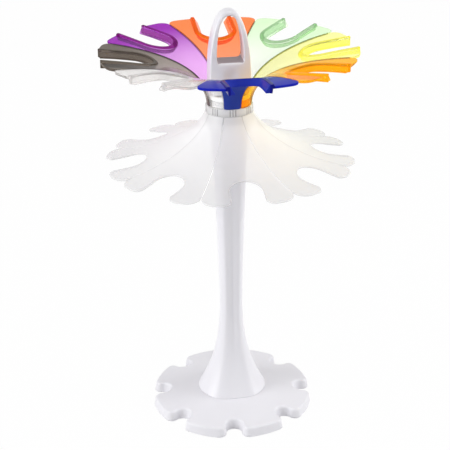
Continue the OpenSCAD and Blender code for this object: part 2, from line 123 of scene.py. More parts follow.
def material(name):
    mat = bpy.data.materials.new(name)
    mat.use_nodes = True
    tree = mat.node_tree
    shader = next(n for n in tree.nodes if n.type == "BSDF_PRINCIPLED")
    return mat, tree, shader


def noise(tree, scale, detail=3.0):
    where = tree.nodes.new("ShaderNodeTexCoord")
    tex = tree.nodes.new("ShaderNodeTexNoise")
    tex.inputs["Scale"].default_value = scale
    tex.inputs["Detail"].default_value = detail
    tex.inputs["Roughness"].default_value = 0.55
    tree.links.new(where.outputs["Object"], tex.inputs["Vector"])
    return tex.outputs["Fac"]


def map_range(tree, value, from_min, from_max, to_min, to_max):
    node = tree.nodes.new("ShaderNodeMapRange")
    limits = {"From Min": from_min, "From Max": from_max, "To Min": to_min, "To Max": to_max}
    for name, limit in limits.items():
        node.inputs[name].default_value = limit
    tree.links.new(value, node.inputs["Value"])
    return node


def wavering(tree, scale, low, high, detail=3.0):
    """A value that wavers between low and high over the surface."""
    value = noise(tree, scale, detail)
    return map_range(tree, value, NOISE_LOW, NOISE_HIGH, low, high).outputs["Result"]


def bump(tree, shader, value, distance):
    node = tree.nodes.new("ShaderNodeBump")
    node.inputs["Strength"].default_value = 1.0
    node.inputs["Distance"].default_value = distance
    tree.links.new(value, node.inputs["Height"])
    tree.links.new(node.outputs["Normal"], shader.inputs["Normal"])


def moulded(name, colour, rough, grain=0.00002, waver=0.04):
    """Opaque moulded plastic: a fine mould grain, and gloss and tone that waver a little."""
    mat, tree, shader = material(name)
    tone = tree.nodes.new("ShaderNodeMixRGB")
    tone.inputs["Color1"].default_value = (*[c * 0.985 for c in colour], 1)
    tone.inputs["Color2"].default_value = (*colour, 1)
    tree.links.new(wavering(tree, 45.0, 0, 1), tone.inputs["Fac"])
    tree.links.new(tone.outputs["Color"], shader.inputs["Base Color"])
    tree.links.new(wavering(tree, 120.0, rough - waver, rough + waver), shader.inputs["Roughness"])
    bump(tree, shader, noise(tree, 1600.0, 2.0), grain)
    shader.inputs["IOR"].default_value = 1.49
    return mat


def metal(name, colour, rough, scale=900.0):
    mat, tree, shader = material(name)
    shader.inputs["Base Color"].default_value = (*colour, 1)
    shader.inputs["Metallic"].default_value = 1
    tree.links.new(wavering(tree, scale, rough - 0.06, rough + 0.06), shader.inputs["Roughness"])
    bump(tree, shader, noise(tree, scale), 0.00001)
    return mat


def by_radius(tree, run, start, end):
    """A value that runs from start to end over a run of distances from the carousel's axis."""
    where = tree.nodes.new("ShaderNodeTexCoord")
    flat, length = tree.nodes.new("ShaderNodeVectorMath"), tree.nodes.new("ShaderNodeVectorMath")
    flat.operation, length.operation = "MULTIPLY", "LENGTH"
    flat.inputs[1].default_value = (1, 1, 0)
    tree.links.new(where.outputs["Object"], flat.inputs[0])
    tree.links.new(flat.outputs["Vector"], length.inputs[0])
    node = map_range(tree, length.outputs["Value"], *run, start, end)
    node.interpolation_type = "SMOOTHSTEP"
    return node.outputs["Result"]


def colour_along(tree, socket, inner, outer):
    """Gives a socket a colour that runs from inner near the neck to outer at the rim."""
    if inner == outer:
        socket.default_value = (*inner, 1)
        return
    along = tree.nodes.new("ShaderNodeMixRGB")
    along.inputs["Color1"].default_value = (*inner, 1)
    along.inputs["Color2"].default_value = (*outer, 1)
    tree.links.new(by_radius(tree, COLOUR_RUN, 0, 1), along.inputs["Fac"])
    tree.links.new(along.outputs["Color"], socket)


def through_lamps(tree, shader, tint):
    """Lets the lamps' light through see-through plastic in the given tint."""
    out = next(n for n in tree.nodes if n.type == "OUTPUT_MATERIAL")
    path = tree.nodes.new("ShaderNodeLightPath")
    clear = tree.nodes.new("ShaderNodeBsdfTransparent")
    clear.inputs["Color"].default_value = (*tint, 1)
    mix = tree.nodes.new("ShaderNodeMixShader")
    tree.links.new(path.outputs["Is Shadow Ray"], mix.inputs["Fac"])
    tree.links.new(shader.outputs["BSDF"], mix.inputs[1])
    tree.links.new(clear.outputs["BSDF"], mix.inputs[2])
    tree.links.new(mix.outputs["Shader"], out.inputs["Surface"])


def tinted(name, inner, outer, share):
    """See-through moulded plastic with faint streaks. share is how much of the light goes through."""
    mat, tree, shader = material(name)
    rough, streak = 0.1, 0.03
    tone = tree.nodes.new("ShaderNodeMixRGB")
    tone.blend_type = "MULTIPLY"
    tone.inputs["Color2"].default_value = (1 - streak, 1 - streak, 1 - streak, 1)
    tree.links.new(wavering(tree, 30.0, 0, 1, detail=2.0), tone.inputs["Fac"])
    colour_along(tree, tone.inputs["Color1"], inner, outer)
    tree.links.new(tone.outputs["Color"], shader.inputs["Base Color"])
    tree.links.new(wavering(tree, 90.0, rough * 0.8, rough * 1.2), shader.inputs["Roughness"])
    shader.inputs["Transmission Weight"].default_value = share
    shader.inputs["IOR"].default_value = 1.08
    shader.inputs["Specular IOR Level"].default_value = 0.1
    shader.inputs["Coat Weight"].default_value = 0.04
    shader.inputs["Coat Roughness"].default_value = 0.06
    through_lamps(tree, shader, [0.7 + 0.3 * math.sqrt(c) for c in outer])
    return mat


def sheer(name, inner, outer, rough, neck_alpha, alpha):
    """Thin plastic, plain or frosted, seen as a veil over what is behind it."""
    mat, tree, shader = material(name)
    colour_along(tree, shader.inputs["Base Color"], inner, outer)
    if neck_alpha == alpha:
        shader.inputs["Alpha"].default_value = alpha
    else:
        tree.links.new(by_radius(tree, VEIL_RUN, neck_alpha, alpha), shader.inputs["Alpha"])
    tree.links.new(wavering(tree, 90.0, rough * 0.8, rough * 1.2), shader.inputs["Roughness"])
    return mat


body_white = moulded("white_moulded", (0.82, 0.813, 0.855), 0.34)
# The hub's white, lighter than the body's: painted light against the shade under the petals
hub_lit_white = moulded("hub_painted_light", (0.92, 0.92, 0.92), 0.4)
plate_white = moulded("plate_moulded", (0.74, 0.74, 0.76), 0.5)
# A dark grey painted on the handle window's sill: painted shade, as the sill lies in shade
sill_shade = moulded("sill_painted_shade", (0.36, 0.29, 0.31), 0.5)
acetal = moulded("acetal", (0.80, 0.78, 0.70), 0.45)
rubber = moulded("rubber", (0.035, 0.035, 0.036), 0.75, grain=0.00006)
iron = metal("cast_iron", (0.18, 0.18, 0.19), 0.6, scale=500.0)
steel = metal("zinc_steel", (0.60, 0.61, 0.63), 0.3)
brass = metal("brass", (0.78, 0.56, 0.24), 0.25)
# Pale clear plastic, and a dark grey that is painted shade in the clear ring's grooves
PALE, GROOVE_SHADE = (0.97, 0.97, 0.97), (0.3, 0.3, 0.3)
clear = sheer("clear_moulded", PALE, PALE, 0.1, 0.5, 0.5)
groove_painted_shade = sheer("groove_painted_shade", GROOVE_SHADE, GROOVE_SHADE, 0.2, 0.9, 0.9)
frosted = sheer("frosted_moulded", PALE, (0.80, 0.80, 0.81), 0.36, 0.46, 0.35)
# Greys outward along the guides' slot edge: painted shade on that edge
frosted_edge_shade = sheer("frosted_edge_shade", PALE, (0.64, 0.63, 0.64), 0.36, 0.42, 0.42)
frosted_rim = sheer("frosted_rim", PALE, PALE, 0.36, 0.2, 0.2)

# The nodes that keep their CAD shape
NODE_MATERIALS = {
    iron: ("base_ballast",),
    plate_white: ("base_plate",),
    rubber: ("rubber_feet",),
    acetal: ("bush_lower", "bush_upper", "thrust_washer"),
    hub_lit_white: ("hub", "guide_lock_ring", "petal_clamp_ring"),
    brass: ("handle_insert",),
    steel: ("base_screws", "tie_rod", "rod_washer", "rod_nut", "hub_screws", "snap_ring", "clamp_screws")}
for mat, nodes in NODE_MATERIALS.items():
    for node in nodes:
        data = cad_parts[node].data
        data.materials.clear()
        data.materials.append(mat)


def dress(obj, mats, body, node):
    """Puts materials on a piece, and has it ride on a body in place of a CAD node."""
    for mat in mats:
        obj.data.materials.append(mat)
    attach(obj, body)
    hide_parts(node)


# ---- petals, upper and lower ----

# A petal's material slots
BLADE, BAND, LEDGE, RIM = range(4)
# Distances from an edge at which rows of points follow its round
EDGE_STEPS = (0.04, 0.16, 0.42, 0.8)
# Rows from the slot to the outer edge: as parts of the way, or, below 0, as distances from the outer edge
FAR_ROWS = [0.06, 0.14, 0.23, 0.32, 0.42, 0.52, 0.62, 0.72, 0.82, 0.91]
FAR_ROWS += [-d for d in EDGE_STEPS[::-1]] + [1.0]
# Stations along half a petal, the slot's turn in degrees at each, and where that turn ends
STATIONS, TURNS, TURN_END = (0, 0.07, 0.17, 0.28, 0.42, 0.60), (0, 4, 10, 20, 45, 90), 0.6
# Radius on the petal's outer edge at the stations between the neck and the slot's middle
OUTER_REACH = (29, 46, 69)
# Points round the slot's turn, along its side, along the rim or a corner, and across the foot
TURN_STEPS, SIDE_STEPS, TIP_STEPS, FOOT_STEPS = 34, 19, 24, 13
# How sharply the rows bend towards the rounded tip, and the share of the reach where angles are measured
TIP_POWER, MEASURE_AT = 6, 0.8
# Radii between which a petal's thickness turns from square to its curve to upright
UPRIGHT_FROM, UPRIGHT_TO = 45, 65
# Stands for a distance too great to matter
FAR = 99.0


class Meridian:
    """The Bezier curve in radius and height that a petal follows, with points by radius or by length."""

    def __init__(self, control):
        self.c = np.array(control, float)
        # a little past the end, for the points at the tips
        self.t = np.linspace(0, 1.03, 1031)
        self.p = self.point(self.t)
        self.s = way_along(self.p)

    def point(self, t):
        t = np.asarray(t, float)[..., None]
        c = self.c
        u = 1 - t
        return u ** 3 * c[0] + 3 * u ** 2 * t * c[1] + 3 * u * t * t * c[2] + t ** 3 * c[3]

    def slope(self, t):
        t = np.asarray(t, float)[..., None]
        c = self.c
        u = 1 - t
        return 3 * (u ** 2 * (c[1] - c[0]) + 2 * u * t * (c[2] - c[1]) + t * t * (c[3] - c[2]))

    def normal(self, t):
        v = self.slope(t)
        return np.stack([-v[..., 1], v[..., 0]], -1) / np.linalg.norm(v, axis=-1, keepdims=True)

    def t_at_length(self, s):
        return np.interp(s, self.s, self.t)

    def t_at_radius(self, r):
        return np.interp(r, self.p[:, 0], self.t)

    def length_at_radius(self, r):
        return np.interp(r, self.p[:, 0], self.s)

    def place(self, theta, t, h):
        """Points at distance h off the curve: square to it near the neck, above their place far out."""
        base = self.point(t)
        upright = smooth(base[..., 0], UPRIGHT_FROM, UPRIGHT_TO)
        target = base[..., 0] + (1 - upright) * h * self.normal(t)[..., 0]
        u = t.copy()
        # a few Newton steps find the place on the curve, with the slope kept away from 0
        for _ in range(6):
            off = self.point(u)[..., 0] + h * self.normal(u)[..., 0] - target
            u = u - np.where(upright > 0, off / np.maximum(self.slope(u)[..., 0], 5), 0)
        p = self.point(u) + h[..., None] * self.normal(u)
        r, z = p[..., 0], p[..., 1]
        return np.stack([r * np.sin(theta), -r * np.cos(theta), z], -1)


class PetalPlan:
    """Half of a petal seen from above: stations along it, and rows across it from slot to outer edge.

    The stations turn round the slot's inner end and run on along its straight side to the tip. Points are
    found as an angle round the axis and a length or parameter on the petal's curve."""

    def __init__(self, curve, r_out, corner, slot_w, slot_in, mouth, zone):
        self.curve, self.r_out, self.corner, self.mouth, self.zone = curve, r_out, corner, mouth, zone
        self.half_w, self.centre = slot_w / 2, slot_in + slot_w / 2
        self.straight = r_out - self.centre
        self.s = self.stations()
        self.turn = np.interp(self.s, STATIONS, np.radians(TURNS))
        self.along = np.clip((self.s - TURN_END) / (1 - TURN_END), 0, 1)
        # the angle between the petal's side and the middle of its corner's round
        self.lean = math.asin((corner + GAP / 2) / (r_out - corner))
        self.corner_angle = PITCH / 2 - self.lean
        self.far, self.far_edge = self.far_part()

    def stations(self):
        """Even steps, with closer ones where the tip's edge is rounded."""
        turning, straight = np.linspace(0, TURN_END, TURN_STEPS), np.linspace(TURN_END, 1, SIDE_STEPS)
        fine = np.concatenate([turning, straight[1:]])
        tip_steps = 1 - np.array(EDGE_STEPS[::-1]) / self.straight * (1 - TURN_END)
        return np.unique(np.concatenate([fine[fine < tip_steps[0] - 0.005], tip_steps, [1.0]]))

    def slot_end(self, d):
        """How far out the slot's side reaches at distance d from its wall. The mouth's corner is round."""
        x = self.half_w + d
        end = math.sqrt(self.r_out ** 2 - x * x)
        if d < self.mouth:
            mouth_y = math.sqrt((self.r_out - self.mouth) ** 2 - (self.half_w + self.mouth) ** 2)
            end = min(end, mouth_y + math.sqrt(max(self.mouth ** 2 - (self.mouth - d) ** 2, 0)))
        return end

    def near(self, d):
        """The points at distance d from the slot's wall, across and outward."""
        turning = self.s < TURN_END
        w = self.half_w + d
        x = np.where(turning, w * np.sin(self.turn), w)
        straight_y = self.centre + self.along * (self.slot_end(d) - self.centre)
        return x, np.where(turning, self.centre - w * np.cos(self.turn), straight_y)

    def inner_line(self):
        """Where the rows by the slot end, as angle and length."""
        x, y = self.near(self.zone)
        return np.stack([np.arctan2(x, y), self.curve.length_at_radius(np.hypot(x, y))], -1)

    def outer_line(self):
        """Half of the neck, then the petal's side out to its corner's round, as angle and length."""
        curve, neck_r = self.curve, self.curve.p[0, 0]
        end_r = math.hypot((self.r_out - self.corner) * math.cos(self.lean), GAP / 2)
        reach = [*OUTER_REACH, self.centre + 2, end_r]
        lengths = [0, 0] + [float(curve.length_at_radius(r)) for r in reach]
        lengths = np.interp(self.s, [*STATIONS, 1.0], lengths)
        radius = np.maximum(curve.point(curve.t_at_length(lengths))[:, 0], neck_r)
        side = PITCH / 2 - np.arcsin(GAP / 2 / radius)
        return np.stack([np.interp(self.s, STATIONS[:2], [0, 1]) * side, lengths], -1)

    def tip_line(self):
        """The tip along the rim and round the corner, as angle and length."""
        r_out, corner, end = self.r_out, self.corner, self.corner_angle
        start = math.atan2(self.half_w + self.zone, self.slot_end(self.zone))
        cx, cy = (r_out - corner) * math.sin(end), (r_out - corner) * math.cos(end)
        rim = [(r_out * math.sin(a), r_out * math.cos(a)) for a in np.linspace(start, end, TIP_STEPS)]
        arc = [(cx + corner * math.sin(a), cy + corner * math.cos(a))
               for a in np.linspace(end, PITCH / 2 + math.pi / 2, TIP_STEPS)]
        tip = np.array(rim + arc[1:])
        lengths = self.curve.length_at_radius(np.hypot(tip[:, 0], tip[:, 1]))
        return np.stack([np.arctan2(tip[:, 0], tip[:, 1]), lengths], -1)

    def far_part(self):
        """The rows from the slot's zone to the outer edge, and each point's distance from that edge."""
        inner, outer, tip = self.inner_line(), self.outer_line(), self.tip_line()
        scale = np.array([MEASURE_AT * self.r_out, 1.0])
        way = way_along(tip * scale)
        span = np.linalg.norm((outer - inner) * scale, axis=1)
        bend = (self.s ** TIP_POWER)[:, None]
        rows = []
        for q in FAR_ROWS:
            f = np.full(len(self.s), q) if q >= 0 else 1 + q / span
            tip_f = q if q >= 0 else 1 + q / way[-1]
            bulge = np.array([np.interp(tip_f * way[-1], way, tip[:, k]) for k in (0, 1)])
            bulge -= (1 - tip_f) * tip[0] + tip_f * tip[-1]
            rows.append((1 - f)[:, None] * inner + f[:, None] * outer + bend * bulge)
        edge = np.array([np.full(len(self.s), -q if q < 0 else FAR) for q in FAR_ROWS]).T
        edge[:, -1] = 0
        return np.array(rows).transpose(1, 0, 2), edge

    def columns(self, near_rows):
        """Each point's angle, curve parameter and distance from the nearest free edge."""
        theta, t, edge = [], [], []
        for d in near_rows:
            x, y = self.near(d)
            theta.append(np.arctan2(x, y))
            t.append(self.curve.t_at_radius(np.hypot(x, y)))
            edge.append(np.full(len(self.s), d - near_rows[0]))
        theta = np.concatenate([np.array(theta).T, self.far[:, :, 0]], 1)
        t = np.concatenate([np.array(t).T, self.curve.t_at_length(self.far[:, :, 1])], 1)
        edge = np.concatenate([np.array(edge).T, self.far_edge], 1)
        tip_gap = (1 - self.s) / (1 - TURN_END) * self.straight
        return theta, t, np.minimum(edge, tip_gap[:, None])

    def surface(self, near_rows, height):
        """The points of the top or the underside, from one tip round the slot to the other tip."""
        theta, t, edge = self.columns(near_rows)
        from_slot = np.concatenate([near_rows, np.full(len(FAR_ROWS), FAR)])
        right = self.curve.place(theta, t, height(t, np.broadcast_to(from_slot, t.shape), edge))
        left = right * np.array([-1, 1, 1])
        return np.concatenate([left[::-1], right[1:]], 0)


def foot_block(start, r_in, r_out, z_low, z_high):
    """The petal's foot in the neck, as an arc of four-sided sections numbered from start."""
    wide = PITCH / 2 - math.asin(GAP / 2 / r_out)
    corners = ((r_in, z_low), (r_out, z_low), (r_out, z_high), (r_in, z_high))
    arc = np.linspace(-wide, wide, FOOT_STEPS)
    points = [polar(r, a, z) for a in arc for r, z in corners]
    faces = loop_faces(len(arc), 4, False, start)
    faces += [tuple(first + k for k in range(4)) for first in (start, start + 4 * (len(arc) - 1))]
    return points, faces


def petal_mesh(top, low, foot, zones):
    """A closed petal from its top, its underside and its foot. zones gives the rows where the ledge and
    the band end."""
    rings, n = top.shape[:2]
    around = 2 * n
    points = np.concatenate([top, low[:, ::-1]], 1).reshape(-1, 3)
    ledge_end, band_end = zones
    rim_start = n - len(EDGE_STEPS)

    def kind_of(j):
        if j < band_end:
            return LEDGE if j < ledge_end else BAND
        return RIM if j >= rim_start else BLADE

    faces = loop_faces(rings, around, False)
    row_of = [min(j, around - 2 - j) if j < around - 1 else 0 for j in range(around)]
    kinds = [kind_of(j) for j in row_of] * (rings - 1)
    for base in (0, (rings - 1) * around):
        for j in range(n - 1):
            faces.append((base + j, base + j + 1, base + around - 2 - j, base + around - 1 - j))
            kinds.append(kind_of(j))
    foot_points, foot_faces = foot_block(len(points), *foot)
    return np.concatenate([points, foot_points], 0), faces + foot_faces, kinds + [BLADE] * len(foot_faces)


def petal_at(site, name, shape):
    """A petal of the given shape, turned to its place round the carousel."""
    points, faces, kinds = shape
    c, s = math.cos(site * PITCH), math.sin(site * PITCH)
    x, y, z = points.T
    return new_mesh(name, np.stack([x * c - y * s, x * s + y * c, z], -1), faces, kinds)


# ---- upper petals ----

# The neck and the foot in it
NECK_R, HUB_NECK_R, FOOT_H = 22.3, 18.6, 7.0
# The blade, with the rounds of its outer corners and of the slot's mouth
PETAL_R, PETAL_RISE, PETAL_T, PETAL_CORNER, PETAL_MOUTH = 126.0, 51.5, 2.2, 9.0, 1.4
SLOT_W, SLOT_IN = 35.0, 73.0
# The band round the slot, how far its rows reach, and its upturned tips
BAND_W, BAND_RISE, BAND_ZONE, LIP_RISE, LIP_START = 4.5, 1.0, 5.2, 0.8, 0.86
# The slot's wall below the blade, and the ledge at its foot
WALL_DROP, WALL_T, LEDGE_W, LEDGE_T = 4.0, 2.0, 4.0, 1.6
PETAL_EDGE, BAND_EDGE = 0.6, 0.5

# Rows by the slot, as distances from its wall: on the ledge, below 0, and then across the band
LEDGE_ROWS = [-4, -3.96, -3.84, -3.6, -3.2, -2.2, -1.2]
TOP_ROWS = LEDGE_ROWS + [0, 0.1, 0.3, 0.8, 1.8, 2.8, 3.3, 3.6, 3.9, 4.2, BAND_W, BAND_ZONE]
LOW_ROWS = LEDGE_ROWS + [-0.4, 0.4, 1.2, 1.9, 2.1, 2.3, 2.5, 2.8, 3.2, 3.7, 4.4, BAND_ZONE]


def petal_top(t, d, edge):
    """The blade's top, the band round the slot, and the face that slopes from the band to the ledge."""
    lip = LIP_RISE * np.maximum(0, (t - LIP_START) / (1 - LIP_START)) ** 2
    band = 1 - smooth(d, BAND_W - 1.2, BAND_W)
    top = PETAL_T + (BAND_RISE + lip) * band - round_off(np.maximum(d, 0), BAND_EDGE)
    slope = np.clip(-d / LEDGE_W, 0, 1)
    return top + (LEDGE_T - WALL_DROP - top) * slope - round_off(edge, PETAL_EDGE)


def petal_low(t, d, edge):
    """The blade's underside, and the lower face of the slot's wall and its ledge."""
    wall = 1 - smooth(d, WALL_T - 0.1, WALL_T + 0.5)
    return -WALL_DROP * wall + round_off(edge, PETAL_EDGE)


petal_curve = Meridian([
    [NECK_R, NECK_Z], [NECK_R + 0.2, NECK_Z + 0.54 * PETAL_RISE],
    [0.452 * PETAL_R, NECK_Z + 0.895 * PETAL_RISE], [PETAL_R, NECK_Z + PETAL_RISE]])
petal_plan = PetalPlan(petal_curve, PETAL_R, PETAL_CORNER, SLOT_W, SLOT_IN, PETAL_MOUTH, BAND_ZONE)
petal_shape = petal_mesh(
    petal_plan.surface(TOP_ROWS, petal_top), petal_plan.surface(LOW_ROWS, petal_low),
    foot=(HUB_NECK_R, NECK_R - PETAL_T / 2, NECK_Z, NECK_Z + FOOT_H),
    zones=(len(LEDGE_ROWS), TOP_ROWS.index(BAND_W)))

# Tint near the neck, tint at the rim, tint of the band round the slot
TINTS = {
    "blue": ((0.035, 0.065, 0.38), (0.012, 0.022, 0.50), (0.010, 0.012, 0.24)),
    "amber": ((1.0, 0.60, 0.05), (1.0, 0.54, 0.012), (1.0, 0.42, 0.004)),
    "yellow": ((1.0, 1.0, 0.56), (1.0, 1.0, 0.42), (0.96, 0.90, 0.11)),
    "green": ((0.98, 1.0, 0.94), (0.78, 0.99, 0.68), (0.33, 0.55, 0.29)),
    "orange": ((1.0, 0.39, 0.21), (1.0, 0.29, 0.08), (0.84, 0.14, 0.003)),
    "purple": ((0.95, 0.56, 1.0), (0.37, 0.012, 0.50), (0.19, 0.006, 0.17)),
    "smoke": ((0.48, 0.41, 0.38), (0.17, 0.142, 0.115), (0.12, 0.098, 0.074)),
    "clear": ((0.87, 0.87, 0.87), (0.80, 0.78, 0.77), (0.70, 0.68, 0.67))}


def petal_materials(colour):
    """Blade, band, ledge and rim, the rim darkened as painted shade along the petal's edges. The blue
    plastic lets little light through.
    """
    inner, outer, band = TINTS[colour]
    through = 0.2 if colour == "blue" else 0.85
    middle = [(a + b) / 2 for a, b in zip(inner, outer)]
    # The rim takes the band's tint darkened, less so on the clear petal: painted shade for the dark
    # outline along the edges
    rim = [(0.9 if colour == "clear" else 0.4) * c for c in band]
    return [tinted("blade_" + colour, inner, outer, through),
            tinted("band_" + colour, band, band, 0.6 * through),
            tinted("ledge_" + colour, middle, middle, through),
            tinted("rim_" + colour, rim, rim, 0.6 * through)]


for site, colour in enumerate(COLOURS):
    blade = petal_at(site, "blade_" + colour, petal_shape)
    dress(blade, petal_materials(colour), "carousel", "petal_" + colour)

# ---- guide petals ----

GUIDE_R, GUIDE_NECK_R, GUIDE_DROP, GUIDE_T = 124.0, 23.6, 50.0, 2.0
GUIDE_SLOT_W, GUIDE_SLOT_IN, GUIDE_CORNER, GUIDE_MOUTH = 32.0, 83.0, 13.0, 8.0
GUIDE_FOOT_IN, GUIDE_FOOT_OUT, GUIDE_FOOT_Z = 20.9, 22.9, 318.1
GUIDE_EDGE, GUIDE_ZONE = 0.8, 8.0
# Rows by the slot, as distances from its wall
GUIDE_ROWS = [0, *EDGE_STEPS, 1.4, 2.2, 3.2, 4.5, 6.0, GUIDE_ZONE]


def guide_top(t, d, edge):
    return -round_off(edge, GUIDE_EDGE)


def guide_low(t, d, edge):
    return -GUIDE_T + round_off(edge, GUIDE_EDGE)


guide_curve = Meridian([
    [GUIDE_NECK_R, RING_Z], [GUIDE_NECK_R + 5.9, RING_Z - 0.37 * GUIDE_DROP],
    [0.516 * GUIDE_R, RING_Z - 0.89 * GUIDE_DROP], [GUIDE_R, RING_Z - GUIDE_DROP]])
guide_plan = PetalPlan(
    guide_curve, GUIDE_R, GUIDE_CORNER, GUIDE_SLOT_W, GUIDE_SLOT_IN, GUIDE_MOUTH, GUIDE_ZONE)
guide_shape = petal_mesh(
    guide_plan.surface(GUIDE_ROWS, guide_top), guide_plan.surface(GUIDE_ROWS, guide_low),
    foot=(GUIDE_FOOT_IN, GUIDE_FOOT_OUT, GUIDE_FOOT_Z, RING_Z), zones=(0, len(EDGE_STEPS)))
for site in range(SITES):
    guide = petal_at(site, "guide_%d" % (site + 1), guide_shape)
    # The rows round the slot's edge take the grey painted as shade
    dress(guide, [frosted, frosted_edge_shade, frosted, frosted_rim],
          "carousel", "guide_petal_%d" % (site + 1))

# ---- clear ring ----

RING_R, RING_BORE, RING_FOOT, RING_TOP, RING_EDGE = 23.4, 18.65, RING_Z + 0.05, 332.95, 0.5
GROOVE_APART, GROOVE_W, GROOVE_DEPTH = 2.7, 1.0, 0.35
RING_STEPS = 720
# The slot of the grooves' dark grey, painted shade
GROOVE_SHADE_SLOT = 1


def from_groove(angle):
    """Distance along the ring's rim from the nearest groove's middle: three in front of each petal."""
    along = abs(math.remainder(angle, PITCH)) * RING_R
    return min(along, abs(along - GROOVE_APART))


def grooved_ring(r, z):
    ring = []
    for j in range(RING_STEPS):
        a = 2 * math.pi * j / RING_STEPS
        cut = GROOVE_DEPTH * max(0, 1 - (2 * from_groove(a) / GROOVE_W) ** 2)
        ring.append(polar(r - cut, a, z))
    return ring


ring_section = (
    (RING_BORE + GROOVE_DEPTH, RING_FOOT), (RING_R - RING_EDGE, RING_FOOT),
    (RING_R, RING_FOOT + RING_EDGE), (RING_R, (RING_FOOT + RING_TOP) / 2), (RING_R, RING_TOP - RING_EDGE),
    (RING_R - RING_EDGE, RING_TOP), (RING_BORE + GROOVE_DEPTH, RING_TOP))
clear_ring = chain("clear_ring_body", [grooved_ring(r, z) for r, z in ring_section])
# The grooves' faces take the dark grey: painted shade in the grooves
for face in clear_ring.data.polygons:
    x, y = face.center.x / MM, face.center.y / MM
    on_rim = math.hypot(x, y) > RING_R - 2 * GROOVE_DEPTH
    if on_rim and from_groove(math.atan2(x, -y)) < GROOVE_W / 2:
        face.material_index = GROOVE_SHADE_SLOT
dress(clear_ring, [clear, groove_painted_shade], "carousel", "clear_ring")

# ---- column ----

WAIST_R, WAIST_Z, FLARE_R, HEAD_R, COLUMN_TOP, FOOT_Z = 11.8, 122.0, 36.0, 18.2, 306.0, 16.2
# How the radius grows from the waist: to the head and to the foot
HEAD_POWER, FOOT_POWER = 1.3, 2.55
FLUTE_DEPTH, FLUTE_HALF = 3.4, math.radians(40)
FOOT_ROUND, FOOT_LEAN, HEAD_ROUND, HEAD_BEVEL = 0.4, 0.5, 0.8, 0.25
# The spigot that carries the hub, the bore round the rod, and the web above the foot's hollow
SPIGOT_R, SPIGOT_TOP = 14.0, COLUMN_TOP + 16
BORE_R, ROD_HOLE_R, WEB_Z, WEB_TOP = 6.0, 4.1, 41.1, 47.1
HOLLOW_R, HOLLOW_WALL = 30.2, 6.2
COLUMN_STEPS, FLARE_STEPS, STEM_STEPS, HOLLOW_STEPS = 144, 60, 50, 8


def column_radius(z):
    if z > WAIST_Z:
        return WAIST_R + (HEAD_R - WAIST_R) * ((z - WAIST_Z) / (COLUMN_TOP - WAIST_Z)) ** HEAD_POWER
    return WAIST_R + (FLARE_R - WAIST_R) * ((WAIST_Z - z) / (WAIST_Z - FOOT_Z)) ** FOOT_POWER


def round_ring(r, z, flute=0.0):
    """A circle of points, with a flute of the given depth in front and one behind."""
    ring = []
    for j in range(COLUMN_STEPS):
        a = 2 * math.pi * j / COLUMN_STEPS
        off = min(abs(math.remainder(a, 2 * math.pi)), abs(math.remainder(a - math.pi, 2 * math.pi)))
        cut = math.cos(math.pi / 2 * off / FLUTE_HALF) ** 2 if off < FLUTE_HALF else 0
        ring.append(polar(r - flute * cut, a, z))
    return ring


def column_skin():
    """Fluted rings from the foot's edge up to the head's."""
    edge_r = FLARE_R - FOOT_ROUND
    rings = [round_ring(edge_r, FOOT_Z, FLUTE_DEPTH)]
    for a in (0.5, 1.0, 1.5):
        up = 1 - math.cos(a)
        r = edge_r + FOOT_ROUND * math.sin(a) - FOOT_LEAN * up
        rings.append(round_ring(r, FOOT_Z + FOOT_ROUND * up, FLUTE_DEPTH))
    # closer together towards the foot, and none in its round
    heights = [FOOT_Z + (WAIST_Z - FOOT_Z) * (k / FLARE_STEPS) ** 1.3 for k in range(1, FLARE_STEPS)]
    heights = [z for z in heights if z > FOOT_Z + 3 * FOOT_ROUND]
    heights += list(np.linspace(WAIST_Z, COLUMN_TOP - HEAD_ROUND, STEM_STEPS))
    rings += [round_ring(column_radius(z), z, FLUTE_DEPTH) for z in heights]
    rings.append(round_ring(HEAD_R - HEAD_BEVEL, COLUMN_TOP - HEAD_BEVEL, FLUTE_DEPTH))
    rings.append(round_ring(HEAD_R - HEAD_ROUND, COLUMN_TOP, FLUTE_DEPTH - HEAD_ROUND / 2))
    return rings


def column_inside():
    """The spigot on the head, the bore round the rod, and the foot's hollow."""
    rings = [round_ring(r, z) for r, z in (
        (SPIGOT_R, COLUMN_TOP), (SPIGOT_R, SPIGOT_TOP), (BORE_R, SPIGOT_TOP), (BORE_R, WEB_TOP),
        (ROD_HOLE_R, WEB_TOP), (ROD_HOLE_R, WEB_Z))]
    hollow = np.linspace(WEB_Z, FOOT_Z + 1, HOLLOW_STEPS)
    return rings + [round_ring(column_radius(z) - HOLLOW_WALL, z) for z in hollow]


column = chain("column_body", [round_ring(HOLLOW_R, FOOT_Z)] + column_skin() + column_inside())
dress(column, [body_white], "carousel", "column")

# ---- base cover ----

# The outline: eight lobes with a notch between them, and the notches' turn from the petals in degrees
BASE_R, NOTCH_W, NOTCH_IN, NOTCH_MOUTH, BASE_TURN = 85.0, 16.0, 67.5, 7.0, 7.1
# The top falls from the flat cap to the rim
BASE_H, RIM_H, RIM_TOP_R, CAP_R, COVER_Z = 16.0, 11.5, 80.5, 38.0, 1.2
RIM_ROUND, DRAFT = 2.6, 1.3
# The outline turns into a circle further in. These angles on it, in degrees, take the ends of the notch's
# round, of its side and of its mouth, and the middle of the lobe.
CIRCLE_R = 60.0
NOTCH_TO, SIDE_TO, MOUTH_FROM, MOUTH_TO, LOBE_TO = 10.2, 10.7, 11.2, 15.5, 22.5
NOTCH_STEPS, MOUTH_STEPS, LOBE_STEPS = 15, 10, 7
RIM_ANGLES, BLENDS, CONE_RINGS = (5, 20, 35, 50, 65, 80, 90), (0.15, 0.4, 0.7, 1.0), (50, 40)
